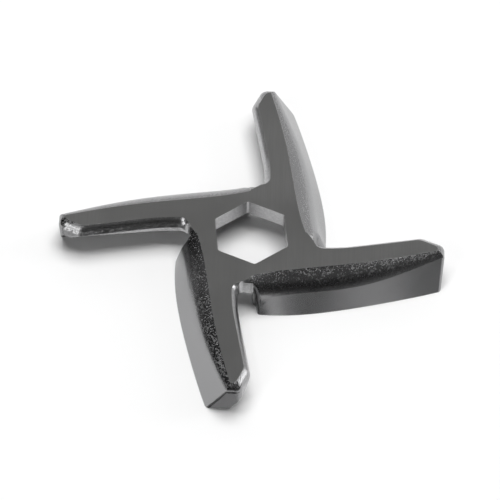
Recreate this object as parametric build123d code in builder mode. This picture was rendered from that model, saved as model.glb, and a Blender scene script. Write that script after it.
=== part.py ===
from build123d import *
import os
from math import acos, atan2, cos, hypot, radians, sin, sqrt, tan

# Four-armed knife of a hand meat grinder: stamped from one sheet, bent and ground.
# Millimetres, +Z up. The origin is on the axis of the drive bore, on the surface that the
# four flanges stand on, and the ground cutting face is on top. The first arm points along
# +Y, and the others follow it clockwise by quarter turns about the axis.

# Sheet and height
sheet = 2.5                 # thickness of the blank before it is ground
grind_depth = 0.2           # layer ground off the top, which makes the cutting face
height = 4.7                # cutting face above the surface that the flanges stand on
arm_count = 4

# Drive bore
bore_across_flats = 9.0
bore_turn = 6.2             # one flat of the hexagon faces this far round from +X
bore_corner_radius = 0.4

# Fold line of the first arm, which the flange is bent down about
fold_offset = 5.13          # from the axis to the fold line, along X
fold_tilt = 10.3            # lean of the fold line towards the axis, out along the arm

# Flange of the first arm: five sections at equal bays along the fold line, hub end first
bend_start_along = -0.1     # where the bend begins, along the fold line
flange_start = 0.2          # hub end of the flange, along the fold line
flange_overrun = 0.5        # how far the bend is drawn past the tip, along the fold line
bend_starts = (0.70, 0.34, 0.58, 0.62, 0.42)    # flat strip between fold line and bend
bend_radii = (3.6, 4.3, 4.0, 3.0, 1.6)          # outer radius of the bend
foot_reaches = (4.60, 5.57, 5.50, 5.02, 4.15)   # from the fold line to the standing edge
inner_bend_radius = 1.2
flange_end_roll = 0.5       # rounding of the outer edge of the flange's hub end

# Cut side of the first arm, the side away from the flange
cut_side_neck = 1.55        # from the axis to the neck beside the hub, along X
neck_straight = 0.1         # straight part of the neck, between its two roundings
cut_side_blend = 22.0       # radius between the neck and the cut side

# Tip of the first arm
tip_reach = 25.0            # from the axis to the end of the arm, at the top
tip_undercut = 0.4          # how much shorter the bent flange is where it stands
tip_roll_share = 1.26       # how much further the rounded edge reaches in round the tip
bevel_rise = 2.95           # how much of the reach the slanted corner takes up
bevel_angle = 66.0          # slanted corner, from X
bevel_start_radius = 1.4
bevel_end_radius = 0.9
flange_tip_roll = 0.5       # rounding of the outer edge of the flange's end at the tip

# Notch between the hub end of a flange and the cut side of the next arm
notch_depth = 7.97          # from the axis to the closed end of the notch
notch_corner_radius = 0.7
notch_touch = 1.12          # how far along its closed end the rounding of the edge starts
notch_rounding = 1.4        # how far along the neck that rounding runs

# Rounded upper edge of the cut side and the tip, left by the stamping
edge_roll = 1.5
roll_turns = (20, 30, 45, 60, 75, 90)   # angles round the roll at which it is drawn

# Lean of the cut side below the roll, as a setback at the underside
setback_by_neck = 0.32
setback_by_tip = 0.95

# Clearances for cutters
past = 0.1                  # how far a cutter stands off a face that it only touches
tip_standoff = 0.02         # how far the cutter of the rounded edge stays outside the tip's walls
square_limit = 0.1          # rise of the normal of a face that still counts as upright
spare = 1.0                 # how far a cutter or a cut-off end runs past the part
tip_spare = 3.0             # how far the arms run past their tips before they are cut

# Levels and directions worked out from the sizes above
blank_top = height + grind_depth
underside = blank_top - sheet
lean = radians(fold_tilt)
bevel = radians(bevel_angle)
uncut_reach = tip_reach + tip_spare
bay = (tip_reach / cos(lean) + flange_overrun - bend_start_along) / (len(bend_radii) - 1)
along_fold = Vector(-sin(lean), cos(lean))
off_fold = Vector(cos(lean), sin(lean))
fold_foot = Vector(fold_offset, 0)


def on_fold(along, out):
    """Point in plan, given along the fold line and outwards from it."""
    return fold_foot + along_fold * along + off_fold * out


def turned(point, quarters):
    """Point in plan, carried to the arm that is some quarter turns further clockwise."""
    return point.rotate(Axis.Z, -quarters * 360 / arm_count)


def is_upright(face):
    """Whether a face stands square to the sheet."""
    return abs(face.normal_at().Z) < square_limit


def looks_up(face):
    """Whether a face is on the upper, outer skin of the blade."""
    return face.normal_at().Z > square_limit


def edges_between(faces, other_faces):
    """Edges that one list of faces shares with another, shortest first."""
    others = other_faces.edges()
    return faces.edges().filter_by(lambda edge: edge in others).sort_by(SortBy.LENGTH)


def flange_section(along, bend_start, bend_radius, foot_reach):
    """Section of the bent sheet across the fold line, from the flat to below the feet."""
    centre_out = bend_start
    centre_up = blank_top - bend_radius
    reach = hypot(foot_reach - centre_out, centre_up)
    slope = atan2(foot_reach - centre_out, -centre_up) - acos(bend_radius / reach)

    def on_normal(distance):
        return centre_out + distance * sin(slope), centre_up + distance * cos(slope)

    def slid_down(point, level):
        return point[0] + (point[1] - level) / tan(slope), level

    bend_end = on_normal(bend_radius)
    inner_end = on_normal(bend_radius - sheet)
    inner_corner = slid_down(inner_end, underside)
    inner_run = inner_bend_radius * tan(slope / 2)
    inner_start = (inner_corner[0] - inner_run, underside)
    inner_stop = slid_down(inner_corner, underside - inner_run * sin(slope))
    plane = Plane(on_fold(along, 0), x_dir=off_fold, z_dir=-along_fold)
    with BuildSketch(plane) as section:
        with BuildLine():
            Line((-spare, blank_top), (bend_start, blank_top))
            RadiusArc((bend_start, blank_top), bend_end, bend_radius)
            Polyline(bend_end, slid_down(bend_end, -spare), slid_down(inner_end, -spare), inner_stop)
            RadiusArc(inner_stop, inner_start, -inner_bend_radius)
            Polyline(inner_start, (-spare, underside), (-spare, blank_top))
        make_face()
    return section.sketch


# Corners of the first arm in plan, on its cut side and at its tip
neck_length = notch_rounding + neck_straight + cut_side_blend * tan(lean / 2)
neck_corner = Vector(cut_side_neck, notch_depth + neck_length)


def on_cut_side(y):
    """Point of the cut side of the first arm in plan, where the side is straight."""
    return Vector(neck_corner.X - tan(lean) * (y - neck_corner.Y), y)


bevel_corner = on_cut_side(tip_reach - bevel_rise)
end_corner = bevel_corner + Vector(bevel_rise / tan(bevel), bevel_rise)

# Inward normals of the edges that meet at those corners
neck_normal = Vector(1, 0)
side_normal = Vector(cos(lean), sin(lean))
bevel_normal = Vector(sin(bevel), -cos(bevel))
end_normal = Vector(0, -1)


def inset_corner(corner, normal, inset, next_normal, next_inset):
    """Corner of an outline after each of its two edges is moved inwards by its own inset."""
    likeness = normal.dot(next_normal)
    along_normal = (inset - likeness * next_inset) / (1 - likeness ** 2)
    along_next = (next_inset - likeness * inset) / (1 - likeness ** 2)
    return corner + normal * along_normal + next_normal * along_next


def undercut_at(depth):
    """How far the end of the arm is set back, at one depth below the top of the blank."""
    return tip_undercut * depth / blank_top


def edge_waste(depth, inset, neck_setback=0, tip_setback=0):
    """What is cut away outside one arm, at one depth below the top of the blank."""
    tip_inset = tip_roll_share * inset - tip_standoff
    bend_radius = bend_radii[0]
    bend_out = bend_starts[0] + sqrt(bend_radius ** 2 - (bend_radius - depth) ** 2) + past
    beside_flange = turned(on_fold(bay / 2, bend_out + spare), 3)
    flange_end = turned(on_fold(0, bend_out), 3)
    touch = Vector(notch_touch, notch_depth + past)
    neck_inset = inset + neck_setback
    neck_start = Vector(cut_side_neck + neck_inset, notch_depth + notch_rounding)
    corners = (
        inset_corner(neck_corner, neck_normal, neck_inset, side_normal, neck_inset),
        inset_corner(bevel_corner, side_normal, inset + tip_setback, bevel_normal, tip_inset),
        inset_corner(end_corner, bevel_normal, tip_inset, end_normal, tip_inset + undercut_at(depth)),
    )
    end_y = corners[2].Y
    past_end = Vector(notch_depth, end_y)
    past_side = Vector(beside_flange.X, uncut_reach)
    with BuildSketch(Plane.XY.offset(blank_top - depth)) as outline:
        with BuildLine():
            Polyline(beside_flange, flange_end, touch)
            TangentArc(neck_start, touch, tangent=(0, -1))
            FilletPolyline(
                neck_start, *corners, past_end,
                radius=(cut_side_blend, bevel_start_radius, bevel_end_radius),
            )
            Polyline(past_end, Vector(notch_depth, uncut_reach), past_side, beside_flange)
        make_face()
    return outline.sketch


# Flat of the blank: the hub and four arms up to their fold lines
arm_outline = (
    Vector(cut_side_neck, notch_depth),
    neck_corner,
    on_cut_side(uncut_reach),
    Vector(fold_offset - tan(lean) * uncut_reach, uncut_reach),
    on_fold(bend_start_along, 0),
    on_fold(bend_start_along, (notch_depth - on_fold(bend_start_along, 0).X) / cos(lean)),
)
with BuildPart() as flat:
    with BuildSketch(Plane.XY.offset(underside)) as blank:
        with BuildLine():
            Polyline(*(turned(point, arm) for arm in range(arm_count) for point in arm_outline), close=True)
        make_face()
        for arm in range(arm_count):
            fillet(blank.vertices().sort_by_distance(turned(arm_outline[0], arm))[0], notch_corner_radius)
            fillet(blank.vertices().sort_by_distance(turned(arm_outline[1], arm))[0], cut_side_blend)
    extrude(amount=sheet)


def beyond_tip(depth):
    """What is cut away beyond one tip, at one depth below the top of the blank."""
    low_corner = inset_corner(end_corner, bevel_normal, 0, end_normal, undercut_at(depth))
    side_start = on_cut_side(bevel_corner.Y - spare)
    outer = Vector(notch_depth + spare, uncut_reach + spare)
    with BuildSketch(Plane.XY.offset(blank_top - depth)) as beyond:
        with BuildLine():
            FilletPolyline(
                side_start, bevel_corner, low_corner, Vector(outer.X, low_corner.Y),
                radius=(bevel_start_radius, bevel_end_radius),
            )
            Polyline(
                Vector(outer.X, low_corner.Y), outer, Vector(-outer.X, outer.Y),
                Vector(-outer.X, side_start.Y), side_start,
            )
        make_face()
    return beyond.sketch


# Waste beyond one tip, cut through the sheet and the flange
with BuildPart() as tip_waste:
    loft([beyond_tip(-spare), beyond_tip(blank_top + spare)], ruled=True)

# Flange of one arm, bent down about its fold line
with BuildPart() as flange:
    stations = (bend_start_along + bay * number for number in range(len(bend_radii)))
    loft([flange_section(*sizes) for sizes in zip(stations, bend_starts, bend_radii, foot_reaches)])
    split(bisect_by=Plane(fold_foot, x_dir=along_fold, z_dir=off_fold), keep=Keep.TOP)
    with BuildSketch(Plane.XY.offset(-spare)) as relief:
        relief_corner = on_fold(flange_start, (notch_depth - on_fold(flange_start, 0).X) / cos(lean))
        relief_end = on_fold(flange_start, notch_depth)
        with BuildLine():
            Polyline(
                Vector(notch_depth, -spare), relief_corner, relief_end,
                Vector(relief_end.X, -spare), close=True,
            )
        make_face()
        fillet(relief.vertices().sort_by_distance(relief_corner)[0], notch_corner_radius)
    extrude(amount=blank_top + 2 * spare, mode=Mode.SUBTRACT)
    relief_walls = flange.faces().filter_by(lambda face: is_upright(face) and face.center().X > notch_depth)
    fillet(edges_between(relief_walls, flange.faces().filter_by(looks_up)), flange_end_roll)
    add(tip_waste.part, mode=Mode.SUBTRACT)
    tip_walls = flange.faces().filter_by(lambda face: is_upright(face) and face.center().Y > bevel_corner.Y)
    fillet(edges_between(tip_walls, flange.faces().filter_by(looks_up))[-1], flange_tip_roll)

# Waste of the rounded edge of one arm: round the roll, then down the leaning side
with BuildPart() as roll_waste:
    levels = []
    for angle in roll_turns:
        inset = edge_roll * (1 - sin(radians(angle)))
        depth = edge_roll * (1 - cos(radians(angle)))
        levels.append(edge_waste(depth, inset))
    loft(levels)
    loft([levels[-1], edge_waste(sheet + past, 0, setback_by_neck, setback_by_tip)], ruled=True)

# Knife: the flat and its flanges, trimmed at the tips, ground, rounded and bored
with BuildPart() as knife:
    add(flat.part)
    with PolarLocations(0, arm_count):
        add(flange.part)
    with PolarLocations(0, arm_count):
        add(tip_waste.part, mode=Mode.SUBTRACT)
    split(bisect_by=Plane.XY.offset(height), keep=Keep.BOTTOM)
    split(bisect_by=Plane.XY, keep=Keep.TOP)
    with PolarLocations(0, arm_count):
        add(roll_waste.part, mode=Mode.SUBTRACT)
    with BuildSketch() as bore:
        RegularPolygon(bore_across_flats / 2, 6, major_radius=False, rotation=bore_turn + 30)
        fillet(bore.vertices(), bore_corner_radius)
    extrude(amount=height, mode=Mode.SUBTRACT)

os.makedirs("parts", exist_ok=True)
knife.part.label = "knife"
export_step(knife.part, "parts/knife.step")
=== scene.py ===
from math import cos, pi, radians, sin
from types import SimpleNamespace

import bpy
from mathutils import Matrix, Vector


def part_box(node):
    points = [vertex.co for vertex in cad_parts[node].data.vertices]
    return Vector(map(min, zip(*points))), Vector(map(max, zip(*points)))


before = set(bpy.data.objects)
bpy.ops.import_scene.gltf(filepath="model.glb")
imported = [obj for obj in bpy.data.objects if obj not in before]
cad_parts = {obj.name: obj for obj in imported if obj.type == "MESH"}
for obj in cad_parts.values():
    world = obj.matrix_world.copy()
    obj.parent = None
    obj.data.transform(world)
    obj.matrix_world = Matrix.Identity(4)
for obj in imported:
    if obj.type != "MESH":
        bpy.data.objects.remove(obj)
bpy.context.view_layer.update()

# Blade, and the level of its ground cutting face in metres
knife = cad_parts["knife"]
face_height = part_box("knife")[1].z
face_margin = 0.00001

# The photograph's camera, about the middle of the cutting face
photo_pixels = 500
focal_pixels = 3291.9
sensor_width = 36.0
camera_elevation = radians(51.43)
camera_roll = radians(1.496)
camera_distance = 0.42184
camera_aim = Vector((-0.000113, -0.002882, face_height))
camera_clip = 0.01

# Steel of each finish, as linear colours
ground_steel = (0.50, 0.50, 0.495, 1.0)
ground_streak = (0.54, 0.54, 0.535, 1.0)
tumbled_steel = (0.32, 0.32, 0.325, 1.0)
pit_steel = (0.46, 0.46, 0.465, 1.0)
wall_steel = (0.40, 0.40, 0.405, 1.0)
wall_light = (0.50, 0.50, 0.505, 1.0)
# Pale steel of the worn edges, partly a painted highlight
worn_and_highlight_steel = (0.74, 0.74, 0.74, 1.0)

# Roughness of each finish, and what its clouds add
ground_roughness = 0.28
flange_roughness = 0.23
bend_roughness = 0.20
wall_roughness = 0.29
pit_roughness = 0.60
cloud_roughness = 0.04

# Grain, in features to the metre
pit_scale = 5500.0
speck_scale = 2600.0
pock_scale = 500.0
grain_scale = 3500.0
dent_scale = 330.0
cloud_scale = 90.0
streak_scale = 5200.0

# Levels of each noise between which its mark grows from none to full
pit_levels = (0.54, 0.68)
speck_levels = (0.70, 0.76)
pock_levels = (0.35, 0.65)
grain_levels = (0.35, 0.65)
cloud_levels = (0.3, 0.7)
streak_levels = (0.3, 0.7)

# Pits come in patches and more towards the tips, by what is added to their noise, and
# the stamped walls show only a share of them
pock_gain = (-0.03, 0.03)
tip_gain = (-0.06, 0.03)
tip_distances = (0.008, 0.024)
wall_pitting = 0.4

# Streaks of the grinding wheel, drawn out along Y, and the turn in degrees that keeps
# the noise's own cells from lining up with them
streak_turn = 24.0
streak_stretch = (1.0, 0.03, 1.0)

# Heights of the relief in metres
pit_depth = 0.00001
grain_depth = 0.000012
dent_depth = 0.000008
streak_depth = 0.0000003

# Rise of the normal from a flange's side to the top of its bend
bend_rises = (0.60, 0.86)

# Worn edges, whose pale colour is partly real wear and partly a painted highlight, which show
# where the normal departs from that of the rounded edge
edge_width = 0.00022
edge_samples = 6
edge_likeness = (0.995, 0.9)
edge_wear_and_highlight = 0.6

# Deeper roll of the sides that face the front: the lift of their normal, the rises over
# which it fades out, and the distances between which it sets in and ends
roll_lift = 0.60
wall_rises = (0.40, 0.62)
flange_rises = (0.14, 0.44)
roll_distances = (0.0075, 0.0100)
roll_turn = radians(8.0)
roll_bounds = (0.0003, 0.0010)

# Fold lines that the flanges are bent down about, as in the solid, and the reach of the
# bore's corners, which lie beyond the lines but on no flange
arm_count = 4
fold_tilt = 10.3
fold_distance = 0.00513 * cos(radians(fold_tilt))
fold_blend = 0.0002
fold_starts = (-0.0016, -0.0013)
bore_reach = 0.0053

# Light of the studio's sides, where 1 shows as white
room_light = 0.17
front_light = 0.13
black_cloth = 0.015
low_cloth = 0.09
back_wall = 0.90
low_window = 1.10
dark_ceiling = 0.02

# Table
table_size = 3.0
table_white = (0.9, 0.9, 0.9, 1.0)
table_roughness = 0.9


def new_material(name):
    """Empty node material, its tree and the shader that feeds its output."""
    material = bpy.data.materials.new(name)
    material.use_nodes = True
    tree = material.node_tree
    tree.nodes.clear()
    output = tree.nodes.new("ShaderNodeOutputMaterial")
    shader = tree.nodes.new("ShaderNodeBsdfPrincipled")
    tree.links.new(shader.outputs["BSDF"], output.inputs["Surface"])
    return material, tree, shader


def put(tree, value, slot):
    """Puts a number, a colour or another node's output into a socket."""
    if isinstance(value, bpy.types.NodeSocket):
        tree.links.new(value, slot)
    else:
        slot.default_value = value


def math_node(tree, operation, first, second, clamp=False):
    """Result of one operation on two values."""
    node = tree.nodes.new("ShaderNodeMath")
    node.operation = operation
    node.use_clamp = clamp
    put(tree, first, node.inputs[0])
    put(tree, second, node.inputs[1])
    return node.outputs["Value"]


def times(tree, first, second):
    """Product of two values."""
    return math_node(tree, "MULTIPLY", first, second)


def rest_of(tree, share):
    """What a share leaves of the whole."""
    return math_node(tree, "SUBTRACT", 1.0, share)


def vector_node(tree, operation, first, second=None, result="Vector"):
    """Result of one operation on one or two vectors."""
    node = tree.nodes.new("ShaderNodeVectorMath")
    node.operation = operation
    put(tree, first, node.inputs[0])
    if second is not None:
        put(tree, second, node.inputs[1])
    return node.outputs[result]


def dot(tree, first, second):
    """Dot product of two vectors."""
    return vector_node(tree, "DOT_PRODUCT", first, second, result="Value")


def length(tree, vector):
    """Length of a vector."""
    return vector_node(tree, "LENGTH", vector, result="Value")


def parts_of(tree, vector):
    """The three parts of a vector."""
    node = tree.nodes.new("ShaderNodeSeparateXYZ")
    put(tree, vector, node.inputs["Vector"])
    return node.outputs["X"], node.outputs["Y"], node.outputs["Z"]


def ramp_between(tree, value, low, high, low_result=0.0, high_result=1.0):
    """Value carried smoothly from one range to another, and held at its ends."""
    node = tree.nodes.new("ShaderNodeMapRange")
    node.interpolation_type = "SMOOTHSTEP"
    put(tree, value, node.inputs["Value"])
    put(tree, low, node.inputs["From Min"])
    put(tree, high, node.inputs["From Max"])
    put(tree, low_result, node.inputs["To Min"])
    put(tree, high_result, node.inputs["To Max"])
    return node.outputs["Result"]


def fall_between(tree, value, low, high):
    """Share that falls smoothly from 1 to 0."""
    return ramp_between(tree, value, low, high, 1.0, 0.0)


def noise(tree, place, scale, detail, roughness=0.5):
    """Noise on a place, with its scale in features to the metre."""
    node = tree.nodes.new("ShaderNodeTexNoise")
    put(tree, place, node.inputs["Vector"])
    put(tree, scale, node.inputs["Scale"])
    put(tree, detail, node.inputs["Detail"])
    put(tree, roughness, node.inputs["Roughness"])
    return node.outputs["Fac"]


def drawn_out(tree, place, turn, stretch):
    """Place squeezed, which draws a noise out into lines, and then turned."""
    node = tree.nodes.new("ShaderNodeMapping")
    put(tree, place, node.inputs["Vector"])
    put(tree, (0.0, 0.0, radians(turn)), node.inputs["Rotation"])
    put(tree, stretch, node.inputs["Scale"])
    return node.outputs["Vector"]


def mixed(tree, share, first, second):
    """Colour between two, by a share from 0 to 1."""
    node = tree.nodes.new("ShaderNodeMix")
    node.data_type = "RGBA"
    put(tree, share, node.inputs["Factor"])
    put(tree, first, node.inputs["A"])
    put(tree, second, node.inputs["B"])
    return node.outputs["Result"]


def between(tree, share, first, second):
    """Number between two, by a share from 0 to 1."""
    node = tree.nodes.new("ShaderNodeMix")
    put(tree, share, node.inputs["Factor"])
    put(tree, first, node.inputs["A"])
    put(tree, second, node.inputs["B"])
    return node.outputs["Result"]


def bump(tree, height, depth, base):
    """Relief of a height field, laid over an earlier normal."""
    node = tree.nodes.new("ShaderNodeBump")
    put(tree, height, node.inputs["Height"])
    put(tree, depth, node.inputs["Distance"])
    put(tree, 1.0, node.inputs["Strength"])
    put(tree, base, node.inputs["Normal"])
    return node.outputs["Normal"]


def beyond_folds(tree, place):
    """Share of the surface that lies on the flange side of one of the fold lines."""
    found = 0.0
    for arm in range(arm_count):
        along = radians(90 + fold_tilt - arm * 360 / arm_count)
        out = along - radians(90)
        outwards = dot(tree, place, (cos(out), sin(out), 0.0))
        onwards = dot(tree, place, (cos(along), sin(along), 0.0))
        side = ramp_between(tree, outwards, fold_distance - fold_blend, fold_distance)
        ahead = ramp_between(tree, onwards, *fold_starts)
        found = math_node(tree, "MAXIMUM", found, times(tree, side, ahead))
    in_plan = vector_node(tree, "MULTIPLY", place, (1.0, 1.0, 0.0))
    reach = length(tree, in_plan)
    outside_bore = ramp_between(tree, reach, bore_reach, bore_reach + fold_blend)
    return times(tree, found, outside_bore)


def edge_mask(tree, normal):
    """Share of the surface that lies on a sharp edge."""
    rounded = tree.nodes.new("ShaderNodeBevel")
    rounded.samples = edge_samples
    put(tree, edge_width, rounded.inputs["Radius"])
    likeness = dot(tree, normal, rounded.outputs["Normal"])
    return ramp_between(tree, likeness, *edge_likeness)


def skin_masks(tree):
    """Place and normal on the blade, and the shares of its surface that differ in finish."""
    skin = SimpleNamespace()
    skin.place = tree.nodes.new("ShaderNodeTexCoord").outputs["Object"]
    skin.normal = tree.nodes.new("ShaderNodeNewGeometry").outputs["Normal"]
    height = parts_of(tree, skin.place)[2]
    rise = parts_of(tree, skin.normal)[2]
    skin.ground = math_node(tree, "GREATER_THAN", height, face_height - face_margin)
    skin.unground = rest_of(tree, skin.ground)
    skin.flange = times(tree, beyond_folds(tree, skin.place), skin.unground)
    skin.off_flange = rest_of(tree, skin.flange)
    skin.wall = math_node(tree, "SUBTRACT", skin.off_flange, skin.ground, clamp=True)
    skin.worn = times(tree, ramp_between(tree, rise, *bend_rises), skin.unground)
    skin.edge = edge_mask(tree, skin.normal)
    return skin


def roll_front_sides(tree, skin):
    """Turns up the normal of the front arms' sides that face the front."""
    _, back, rise = parts_of(tree, skin.normal)
    facing = math_node(tree, "MULTIPLY", back, -1.0, clamp=True)
    on_wall = fall_between(tree, rise, *wall_rises)
    on_flange = fall_between(tree, rise, *flange_rises)
    steep = between(tree, skin.flange, on_wall, on_flange)
    on_arm = ramp_between(tree, length(tree, skin.place), *roll_distances)
    behind = dot(tree, skin.place, (sin(roll_turn), cos(roll_turn), 0.0))
    on_front_arms = fall_between(tree, behind, *roll_bounds)
    roll = times(tree, times(tree, facing, steep), times(tree, on_arm, on_front_arms))
    up = tree.nodes.new("ShaderNodeCombineXYZ")
    put(tree, times(tree, roll, roll_lift), up.inputs["Z"])
    lifted = vector_node(tree, "ADD", skin.normal, up.outputs["Vector"])
    skin.normal = vector_node(tree, "NORMALIZE", lifted)
    skin.rolled = times(tree, roll, skin.off_flange)


def pit_mask(tree, skin):
    """Fine pits of scale on the bends and rolled walls, in patches, and more at the tips."""
    pocks = noise(tree, skin.place, pock_scale, detail=2.0)
    patches = ramp_between(tree, pocks, *pock_levels, *pock_gain)
    outer = ramp_between(tree, length(tree, skin.place), *tip_distances, *tip_gain)
    density = math_node(tree, "ADD", patches, outer)
    pits = math_node(tree, "ADD", noise(tree, skin.place, pit_scale, detail=1.0), density)
    specks = math_node(tree, "ADD", noise(tree, skin.place, speck_scale, detail=0.0), density)
    pits = ramp_between(tree, pits, *pit_levels)
    specks = ramp_between(tree, specks, *speck_levels)
    pitted = math_node(tree, "MAXIMUM", pits, specks)
    pitted = times(tree, pitted, math_node(tree, "MAXIMUM", skin.worn, skin.rolled))
    in_full = math_node(tree, "MAXIMUM", skin.flange, skin.rolled)
    return times(tree, pitted, between(tree, in_full, wall_pitting, 1.0))


def wheel_streaks(tree, skin):
    """Streaks that the grinding wheel leaves across the cutting face."""
    place = drawn_out(tree, skin.place, streak_turn, streak_stretch)
    streaks = noise(tree, place, streak_scale, detail=2.0, roughness=0.6)
    return ramp_between(tree, streaks, *streak_levels)


def add_marks(tree, skin):
    """Adds the pits, dents, clouds, grain and streaks to the skin."""
    skin.pitted = pit_mask(tree, skin)
    skin.dents = noise(tree, skin.place, dent_scale, detail=2.0)
    clouds = noise(tree, skin.place, cloud_scale, detail=3.0, roughness=0.6)
    skin.clouds = ramp_between(tree, clouds, *cloud_levels)
    skin.grain = noise(tree, skin.place, grain_scale, detail=3.0, roughness=0.65)
    skin.streaks = wheel_streaks(tree, skin)


def steel_colour(tree, skin):
    """Colour of the steel, with pale pits, grainy walls, wheel streaks and bright edges that
    are partly worn and partly a painted highlight.
    """
    tumbled = mixed(tree, skin.pitted, tumbled_steel, pit_steel)
    grainy = ramp_between(tree, skin.grain, *grain_levels)
    stamped = mixed(tree, grainy, wall_steel, wall_light)
    streaky = times(tree, skin.streaks, skin.clouds)
    ground = mixed(tree, streaky, ground_steel, ground_streak)
    colour = mixed(tree, skin.wall, tumbled, stamped)
    colour = mixed(tree, skin.ground, colour, ground)
    # Edges lightened towards the worn steel: partly real wear, partly a painted highlight
    return mixed(tree, times(tree, skin.edge, edge_wear_and_highlight), colour, worn_and_highlight_steel)


def steel_roughness(tree, skin):
    """Roughness of the steel, from bright bends to matt walls and pits."""
    rough = between(tree, skin.worn, flange_roughness, bend_roughness)
    rough = between(tree, skin.wall, rough, wall_roughness)
    rough = between(tree, skin.pitted, rough, pit_roughness)
    rough = between(tree, skin.ground, rough, ground_roughness)
    return math_node(tree, "ADD", rough, times(tree, skin.clouds, cloud_roughness))


def steel_relief(tree, skin):
    """Normal of the steel, with its dents, grain, pits and streaks."""
    relief = bump(tree, times(tree, skin.dents, skin.unground), dent_depth, skin.normal)
    relief = bump(tree, times(tree, skin.grain, skin.wall), grain_depth, relief)
    relief = bump(tree, rest_of(tree, skin.pitted), pit_depth, relief)
    return bump(tree, times(tree, skin.streaks, skin.ground), streak_depth, relief)


def make_knife_steel():
    """Stainless steel: ground cutting face, pitted bends, bright flanges, stamped walls."""
    material, tree, shader = new_material("knife_steel")
    skin = skin_masks(tree)
    roll_front_sides(tree, skin)
    add_marks(tree, skin)
    put(tree, steel_colour(tree, skin), shader.inputs["Base Color"])
    put(tree, steel_roughness(tree, skin), shader.inputs["Roughness"])
    put(tree, steel_relief(tree, skin), shader.inputs["Normal"])
    put(tree, 1.0, shader.inputs["Metallic"])
    return material


def dress_knife():
    """Gives the blade its steel."""
    knife.data.materials.clear()
    knife.data.materials.append(make_knife_steel())


def make_table():
    """Plain white table, which the blade stands on and shades."""
    bpy.ops.object.select_all(action="DESELECT")
    bpy.ops.mesh.primitive_plane_add(size=table_size, location=(0, 0, 0))
    floor = bpy.context.object
    floor.name = "floor"
    material, tree, shader = new_material("floor_white")
    put(tree, table_white, shader.inputs["Base Color"])
    put(tree, table_roughness, shader.inputs["Roughness"])
    floor.data.materials.append(material)


def make_studio():
    """Dim room with cloths and walls hung round it, which the steel mirrors."""
    world = bpy.data.worlds.new("studio")
    bpy.context.scene.world = world
    world.use_nodes = True
    tree = world.node_tree
    tree.nodes.clear()
    output = tree.nodes.new("ShaderNodeOutputWorld")
    sky = tree.nodes.new("ShaderNodeBackground")
    put(tree, sky.outputs["Background"], output.inputs["Surface"])
    direction = tree.nodes.new("ShaderNodeTexCoord").outputs["Generated"]
    right, back, up = parts_of(tree, direction)
    front = times(tree, back, -1.0)
    left = times(tree, right, -1.0)

    def hung(light, value, side, near, far, top, fade):
        """Studio with a cloth or wall of one value on one side, up to a height."""
        across = ramp_between(tree, side, near, far)
        below = fall_between(tree, up, top, top + fade)
        return between(tree, times(tree, across, below), light, value)

    # Black cloth in front, but not far to the right, with a paler strip low down
    light = between(tree, ramp_between(tree, front, -0.2, 0.2), room_light, front_light)
    front_left = times(tree, fall_between(tree, right, 0.32, 0.52), front)
    light = hung(light, black_cloth, front_left, near=0.30, far=0.55, top=0.62, fade=0.20)
    light = hung(light, low_cloth, front, near=0.30, far=0.55, top=0.04, fade=0.18)

    # Black cloth to the left, and a pale wall behind that is higher to the right
    light = hung(light, black_cloth, left, near=0.30, far=0.50, top=0.66, fade=0.12)
    light = hung(light, back_wall, back, near=0.56, far=0.62, top=0.58, fade=0.12)
    right_back = times(tree, ramp_between(tree, right, 0.12, 0.28), back)
    light = hung(light, back_wall, right_back, near=0.50, far=0.60, top=0.66, fade=0.10)

    # Low window behind to the left, and a dark ceiling
    left_back = times(tree, ramp_between(tree, back, 0.50, 0.56), left)
    light = hung(light, low_window, left_back, near=0.30, far=0.50, top=0.16, fade=0.16)
    light = between(tree, ramp_between(tree, up, 0.90, 0.97), light, dark_ceiling)
    put(tree, light, sky.inputs["Strength"])


def make_lamp(name, azimuth, elevation, distance, width, height, brightness):
    """Soft box that faces the blade, placed by its direction from it."""
    direction = Vector((
        sin(radians(azimuth)) * cos(radians(elevation)),
        -cos(radians(azimuth)) * cos(radians(elevation)),
        sin(radians(elevation)),
    ))
    data = bpy.data.lights.new(name, "AREA")
    data.shape = "RECTANGLE"
    data.size = width
    data.size_y = height
    data.energy = brightness * pi * width * height
    lamp = bpy.data.objects.new(name, data)
    bpy.context.scene.collection.objects.link(lamp)
    lamp.location = direction * distance
    lamp.rotation_euler = direction.to_track_quat("Z", "Y").to_euler()
    return lamp


def make_lamps():
    """Large soft light overhead, and small boxes and spots that the bends mirror."""
    ceiling = make_lamp("ceiling", azimuth=170, elevation=73, distance=1.2,
                        width=0.8, height=0.8, brightness=6.3)
    ceiling.visible_glossy = False
    make_lamp("right_box", azimuth=104, elevation=22, distance=1.0,
              width=0.3, height=0.5, brightness=3.5)
    make_lamp("left_box", azimuth=-42, elevation=33, distance=1.0,
              width=0.22, height=0.5, brightness=4.0)
    make_lamp("right_spot", azimuth=90, elevation=66, distance=1.0,
              width=0.12, height=0.12, brightness=16.0)
    make_lamp("left_spot", azimuth=-100, elevation=66, distance=1.0,
              width=0.12, height=0.12, brightness=16.0)


def make_camera():
    """Camera where the photograph was taken from, with its long lens."""
    data = bpy.data.cameras.new("camera")
    data.sensor_width = sensor_width
    data.lens = sensor_width * focal_pixels / photo_pixels
    data.clip_start = camera_clip
    camera = bpy.data.objects.new("camera", data)
    bpy.context.scene.collection.objects.link(camera)
    back = Vector((0, -cos(camera_elevation), sin(camera_elevation)))
    tilt = Matrix.Rotation(radians(90) - camera_elevation, 4, "X")
    roll = Matrix.Rotation(camera_roll, 4, "Z")
    place = Matrix.Translation(camera_aim + back * camera_distance)
    camera.matrix_world = place @ tilt @ roll
    bpy.context.scene.camera = camera


bpy.context.scene.view_settings.view_transform = "Standard"
dress_knife()
make_table()
make_studio()
make_lamps()
make_camera()
